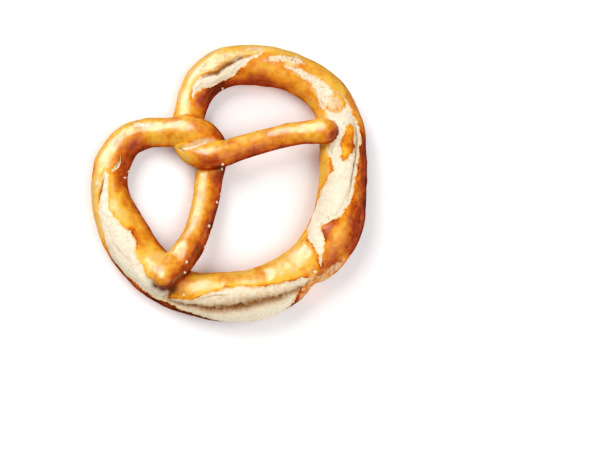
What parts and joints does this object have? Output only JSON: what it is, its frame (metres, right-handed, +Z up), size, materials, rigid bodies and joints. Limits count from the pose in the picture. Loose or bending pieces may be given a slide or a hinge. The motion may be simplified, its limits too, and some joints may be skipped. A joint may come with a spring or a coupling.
{
  "type": "soft pretzel",
  "caption": "Baked soft pretzel: one rope of dough in the classic knot, tapering to thin arms, its crust split open along the belly, with a few coarse salt grains.",
  "frame": {"origin": "centre of the bounding box, at the level of the table that the pretzel lies on", "axes": "+Z up, off the table; +X across the two lobes, the longest way; +Y from the thick belly toward the two lobes"},
  "size_m": [0.1615, 0.1421, 0.0278],
  "materials": {
    "crust": "glossy lye-baked bread crust, golden to red-brown, torn open along the belly to show pale matte crumb",
    "salt": "coarse white salt crystals, slightly translucent"
  },
  "bodies": {
    "root": {"pretzel": "crust", "salt_grain_01": "salt", "salt_grain_02": "salt", "salt_grain_03": "salt", "salt_grain_04": "salt", "salt_grain_05": "salt", "salt_grain_06": "salt", "salt_grain_07": "salt", "salt_grain_08": "salt", "salt_grain_09": "salt", "salt_grain_10": "salt", "salt_grain_11": "salt", "salt_grain_12": "salt", "salt_grain_13": "salt", "salt_grain_14": "salt", "salt_grain_15": "salt"}
  },
  "joints": []
}
